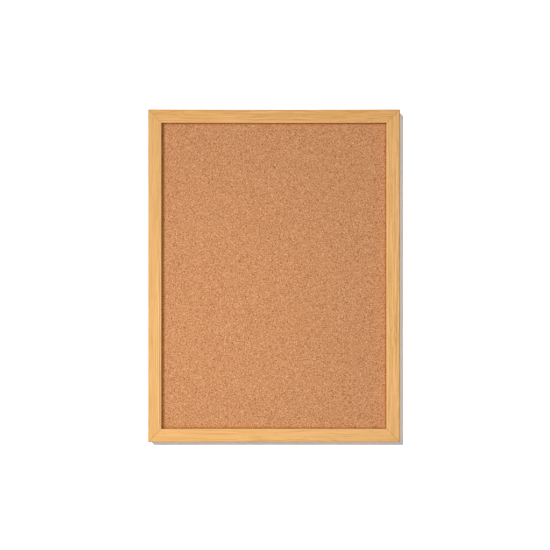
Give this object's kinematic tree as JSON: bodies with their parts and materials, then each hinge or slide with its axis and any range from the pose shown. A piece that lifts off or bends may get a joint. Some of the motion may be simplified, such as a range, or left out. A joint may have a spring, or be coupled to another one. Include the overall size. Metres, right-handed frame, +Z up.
{
  "type": "cork board",
  "caption": "Small portrait pinboard for a wall: cork panel in a grooved, mitred pine frame, with folding D-ring hangers on the back.",
  "frame": {"origin": "midway between the two wall hooks, where they carry the crowns of the D-rings, in the plane of the frame's back", "axes": "+Z up along the stiles, +X to the right as seen from the front, +Y from the cork towards the wall"},
  "size_m": [0.302, 0.0189, 0.399],
  "materials": {
    "pine": "satin",
    "cork": "matte",
    "softboard": "matte",
    "kraft_paper": "matte",
    "plated_steel": "satin",
    "nail_steel": "satin"
  },
  "bodies": {
    "board": {"top_rail": "pine", "bottom_rail": "pine", "left_stile": "pine", "right_stile": "pine", "cork_sheet": "cork", "softboard_core": "softboard", "backing_paper": "kraft_paper", "v_nail_top_left_outer": "nail_steel", "v_nail_top_left_inner": "nail_steel", "v_nail_top_right_outer": "nail_steel", "v_nail_top_right_inner": "nail_steel", "v_nail_bottom_left_outer": "nail_steel", "v_nail_bottom_left_inner": "nail_steel", "v_nail_bottom_right_outer": "nail_steel", "v_nail_bottom_right_inner": "nail_steel", "left_hanger_strap": "plated_steel", "right_hanger_strap": "plated_steel", "left_hanger_screw": "plated_steel", "right_hanger_screw": "plated_steel"},
    "left_d_ring": {"left_ring": "plated_steel"},
    "right_d_ring": {"right_ring": "plated_steel"}
  },
  "joints": [
    {"name": "left_ring_swing", "type": "hinge", "parent": "board", "child": "left_d_ring", "pos_m": [-0.143, 0.00197, -0.0099], "axis": [-1, 0, 0], "range_deg": [0, 176]},
    {"name": "right_ring_swing", "type": "hinge", "parent": "board", "child": "right_d_ring", "pos_m": [0.143, 0.00197, -0.0099], "axis": [-1, 0, 0], "range_deg": [0, 176]}
  ]
}
